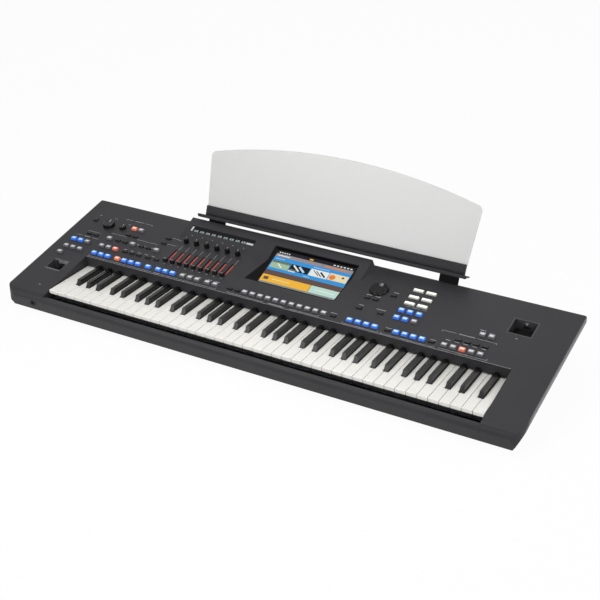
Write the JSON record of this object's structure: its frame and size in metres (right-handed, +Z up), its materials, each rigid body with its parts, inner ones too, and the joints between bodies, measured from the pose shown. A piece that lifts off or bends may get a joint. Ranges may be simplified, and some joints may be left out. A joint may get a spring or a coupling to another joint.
{
  "type": "arranger keyboard",
  "caption": "Long arranger keyboard with piano keys, a sloping panel of buttons, faders and knobs, a sunken screen in a hood, a joystick and a clear arched music rest.",
  "frame": {"origin": "centre of the bounding box's bottom face, on the table below the keyboard's middle", "axes": "+X along the keys to the player's right, +Y to the back, +Z up"},
  "size_m": [1.2534, 0.456, 0.3314],
  "materials": {
    "case_plastic": "fine-textured dark grey plastic",
    "hood_plastic": "dark grey plastic with a satin sheen",
    "black_plastic": "matt black plastic",
    "piano_black": "glossy black plastic",
    "screen_glass": "clear cover glass",
    "socket_black": "black moulded sockets",
    "bed_steel": "zinc-plated sheet steel",
    "supply_steel": "steel can of the supply",
    "screw_steel": "blackened steel screws",
    "grey_felt": "dark grey wool felt",
    "contact_rubber": "grey silicone contact strip",
    "board_green": "green circuit board",
    "light_plastic": "milky light guide and slide pot housing",
    "foot_rubber": "black rubber",
    "knob_plastic": "black moulded plastic",
    "fader_plastic": "black fader caps",
    "button_plastic": "grey translucent button caps",
    "white_key": "white key plastic",
    "black_key": "satin black key plastic",
    "frosted_acrylic": "frosted clear acrylic"
  },
  "bodies": {
    "case": {"lower_case": "case_plastic", "upper_case": "case_plastic", "rear_panel": "case_plastic", "key_slip": "case_plastic", "fallboard": "black_plastic", "display_bridge": "hood_plastic", "display_bezel": "piano_black", "touch_screen": "screen_glass", "lcd_module": "black_plastic", "sub_display": "piano_black", "panel_wells": "black_plastic", "front_sockets": "socket_black", "rear_sockets": "socket_black", "keybed_frame": "bed_steel", "key_springs": "bed_steel", "key_stop_felt": "grey_felt", "key_contact_board": "contact_rubber", "circuit_boards": "board_green", "power_supply": "supply_steel", "rotary_encoders": "bed_steel", "slide_pots": "light_plastic", "rubber_feet": "foot_rubber", "case_screws": "screw_steel"},
    "key_c": {"key_c": "white_key"},
    "key_c_sharp": {"key_c_sharp": "black_key"},
    "key_d": {"key_d": "white_key"},
    "key_d_sharp": {"key_d_sharp": "black_key"},
    "key_e": {"key_e": "white_key"},
    "key_f": {"key_f": "white_key"},
    "key_f_sharp": {"key_f_sharp": "black_key"},
    "key_g": {"key_g": "white_key"},
    "key_g_sharp": {"key_g_sharp": "black_key"},
    "key_a": {"key_a": "white_key"},
    "key_a_sharp": {"key_a_sharp": "black_key"},
    "key_b": {"key_b": "white_key"},
    "left_buttons": {"left_buttons": "button_plastic"},
    "centre_buttons": {"centre_buttons": "button_plastic"},
    "right_buttons": {"right_buttons": "button_plastic"},
    "fader_1": {"fader_1": "fader_plastic"},
    "fader_2": {"fader_2": "fader_plastic"},
    "fader_3": {"fader_3": "fader_plastic"},
    "fader_4": {"fader_4": "fader_plastic"},
    "fader_5": {"fader_5": "fader_plastic"},
    "fader_6": {"fader_6": "fader_plastic"},
    "fader_7": {"fader_7": "fader_plastic"},
    "fader_8": {"fader_8": "fader_plastic"},
    "fader_9": {"fader_9": "fader_plastic"},
    "live_knob_1": {"live_knob_1": "knob_plastic"},
    "live_knob_2": {"live_knob_2": "knob_plastic"},
    "live_knob_3": {"live_knob_3": "knob_plastic"},
    "live_knob_4": {"live_knob_4": "knob_plastic"},
    "live_knob_5": {"live_knob_5": "knob_plastic"},
    "live_knob_6": {"live_knob_6": "knob_plastic"},
    "volume_knob": {"volume_knob": "knob_plastic"},
    "gain_knob": {"gain_knob": "knob_plastic"},
    "data_dial": {"data_dial": "knob_plastic"},
    "joystick_gimbal": {"joystick_gimbal": "black_plastic"},
    "joystick_lever": {"joystick_lever": "black_plastic"},
    "music_rest": {"music_rest_ledge": "case_plastic", "music_rest_plate": "frosted_acrylic"}
  },
  "joints": [
    {"name": "key_c_pivot", "type": "hinge", "parent": "case", "child": "key_c", "pos_m": [0, -0.002, 0.0496], "axis": [1, 0, 0], "range_deg": [0, 2.86], "stiffness_Nm_per_rad": 4, "springref_deg": -22.92},
    {"name": "key_c_sharp_pivot", "type": "hinge", "parent": "case", "child": "key_c_sharp", "pos_m": [0, -0.002, 0.0496], "axis": [1, 0, 0], "range_deg": [0, 2.86], "stiffness_Nm_per_rad": 4, "springref_deg": -22.92},
    {"name": "key_d_pivot", "type": "hinge", "parent": "case", "child": "key_d", "pos_m": [0, -0.002, 0.0496], "axis": [1, 0, 0], "range_deg": [0, 2.86], "stiffness_Nm_per_rad": 4, "springref_deg": -22.92},
    {"name": "key_d_sharp_pivot", "type": "hinge", "parent": "case", "child": "key_d_sharp", "pos_m": [0, -0.002, 0.0496], "axis": [1, 0, 0], "range_deg": [0, 2.86], "stiffness_Nm_per_rad": 4, "springref_deg": -22.92},
    {"name": "key_e_pivot", "type": "hinge", "parent": "case", "child": "key_e", "pos_m": [0, -0.002, 0.0496], "axis": [1, 0, 0], "range_deg": [0, 2.86], "stiffness_Nm_per_rad": 4, "springref_deg": -22.92},
    {"name": "key_f_pivot", "type": "hinge", "parent": "case", "child": "key_f", "pos_m": [0, -0.002, 0.0496], "axis": [1, 0, 0], "range_deg": [0, 2.86], "stiffness_Nm_per_rad": 4, "springref_deg": -22.92},
    {"name": "key_f_sharp_pivot", "type": "hinge", "parent": "case", "child": "key_f_sharp", "pos_m": [0, -0.002, 0.0496], "axis": [1, 0, 0], "range_deg": [0, 2.86], "stiffness_Nm_per_rad": 4, "springref_deg": -22.92},
    {"name": "key_g_pivot", "type": "hinge", "parent": "case", "child": "key_g", "pos_m": [0, -0.002, 0.0496], "axis": [1, 0, 0], "range_deg": [0, 2.86], "stiffness_Nm_per_rad": 4, "springref_deg": -22.92},
    {"name": "key_g_sharp_pivot", "type": "hinge", "parent": "case", "child": "key_g_sharp", "pos_m": [0, -0.002, 0.0496], "axis": [1, 0, 0], "range_deg": [0, 2.86], "stiffness_Nm_per_rad": 4, "springref_deg": -22.92},
    {"name": "key_a_pivot", "type": "hinge", "parent": "case", "child": "key_a", "pos_m": [0, -0.002, 0.0496], "axis": [1, 0, 0], "range_deg": [0, 2.86], "stiffness_Nm_per_rad": 4, "springref_deg": -22.92},
    {"name": "key_a_sharp_pivot", "type": "hinge", "parent": "case", "child": "key_a_sharp", "pos_m": [0, -0.002, 0.0496], "axis": [1, 0, 0], "range_deg": [0, 2.86], "stiffness_Nm_per_rad": 4, "springref_deg": -22.92},
    {"name": "key_b_pivot", "type": "hinge", "parent": "case", "child": "key_b", "pos_m": [0, -0.002, 0.0496], "axis": [1, 0, 0], "range_deg": [0, 2.86], "stiffness_Nm_per_rad": 4, "springref_deg": -22.92},
    {"name": "left_buttons_press", "type": "slide", "parent": "case", "child": "left_buttons", "axis": [0, -0.2045, 0.9789], "range_m": [-0.0015, 0], "stiffness_N_per_m": 400, "springref_m": 0.004},
    {"name": "centre_buttons_press", "type": "slide", "parent": "case", "child": "centre_buttons", "axis": [0, -0.2045, 0.9789], "range_m": [-0.0015, 0], "stiffness_N_per_m": 400, "springref_m": 0.004},
    {"name": "right_buttons_press", "type": "slide", "parent": "case", "child": "right_buttons", "axis": [0, -0.2045, 0.9789], "range_m": [-0.0015, 0], "stiffness_N_per_m": 400, "springref_m": 0.004},
    {"name": "fader_1_slide", "type": "slide", "parent": "case", "child": "fader_1", "axis": [0, 0.9789, 0.2045], "range_m": [0, 0.044]},
    {"name": "fader_2_slide", "type": "slide", "parent": "case", "child": "fader_2", "axis": [0, 0.9789, 0.2045], "range_m": [0, 0.044]},
    {"name": "fader_3_slide", "type": "slide", "parent": "case", "child": "fader_3", "axis": [0, 0.9789, 0.2045], "range_m": [0, 0.044]},
    {"name": "fader_4_slide", "type": "slide", "parent": "case", "child": "fader_4", "axis": [0, 0.9789, 0.2045], "range_m": [0, 0.044]},
    {"name": "fader_5_slide", "type": "slide", "parent": "case", "child": "fader_5", "axis": [0, 0.9789, 0.2045], "range_m": [0, 0.044]},
    {"name": "fader_6_slide", "type": "slide", "parent": "case", "child": "fader_6", "axis": [0, 0.9789, 0.2045], "range_m": [0, 0.044]},
    {"name": "fader_7_slide", "type": "slide", "parent": "case", "child": "fader_7", "axis": [0, 0.9789, 0.2045], "range_m": [0, 0.044]},
    {"name": "fader_8_slide", "type": "slide", "parent": "case", "child": "fader_8", "axis": [0, 0.9789, 0.2045], "range_m": [0, 0.044]},
    {"name": "fader_9_slide", "type": "slide", "parent": "case", "child": "fader_9", "axis": [0, 0.9789, 0.2045], "range_m": [0, 0.044]},
    {"name": "live_knob_1_turn", "type": "hinge", "parent": "case", "child": "live_knob_1", "pos_m": [-0.3185, 0.06817, 0.1114], "axis": [0, -0.2045, 0.9789], "continuous": true},
    {"name": "live_knob_2_turn", "type": "hinge", "parent": "case", "child": "live_knob_2", "pos_m": [-0.29, 0.06817, 0.1114], "axis": [0, -0.2045, 0.9789], "continuous": true},
    {"name": "live_knob_3_turn", "type": "hinge", "parent": "case", "child": "live_knob_3", "pos_m": [-0.2615, 0.06817, 0.1114], "axis": [0, -0.2045, 0.9789], "continuous": true},
    {"name": "live_knob_4_turn", "type": "hinge", "parent": "case", "child": "live_knob_4", "pos_m": [-0.233, 0.06817, 0.1114], "axis": [0, -0.2045, 0.9789], "continuous": true},
    {"name": "live_knob_5_turn", "type": "hinge", "parent": "case", "child": "live_knob_5", "pos_m": [-0.2045, 0.06817, 0.1114], "axis": [0, -0.2045, 0.9789], "continuous": true},
    {"name": "live_knob_6_turn", "type": "hinge", "parent": "case", "child": "live_knob_6", "pos_m": [-0.176, 0.06817, 0.1114], "axis": [0, -0.2045, 0.9789], "continuous": true},
    {"name": "volume_knob_turn", "type": "hinge", "parent": "case", "child": "volume_knob", "pos_m": [-0.54, 0.06034, 0.10977], "axis": [0, -0.2045, 0.9789], "range_deg": [-140, 140]},
    {"name": "gain_knob_turn", "type": "hinge", "parent": "case", "child": "gain_knob", "pos_m": [-0.5, 0.0623, 0.11017], "axis": [0, -0.2045, 0.9789], "range_deg": [-140, 140]},
    {"name": "data_dial_turn", "type": "hinge", "parent": "case", "child": "data_dial", "pos_m": [0.1855, 0.06964, 0.11171], "axis": [0, -0.2045, 0.9789], "continuous": true},
    {"name": "joystick_sideways", "type": "hinge", "parent": "case", "child": "joystick_gimbal", "pos_m": [-0.562, -0.11243, 0.06141], "axis": [0, 0.9789, 0.2045], "range_deg": [-18, 18], "stiffness_Nm_per_rad": 0.2},
    {"name": "joystick_forward", "type": "hinge", "parent": "joystick_gimbal", "child": "joystick_lever", "pos_m": [-0.562, -0.11243, 0.06141], "axis": [1, 0, 0], "range_deg": [-18, 18], "stiffness_Nm_per_rad": 0.2},
    {"name": "music_rest_lift", "type": "slide", "parent": "case", "child": "music_rest", "axis": [0, 0.3256, 0.9455], "range_m": [0, 0.06]}
  ]
}
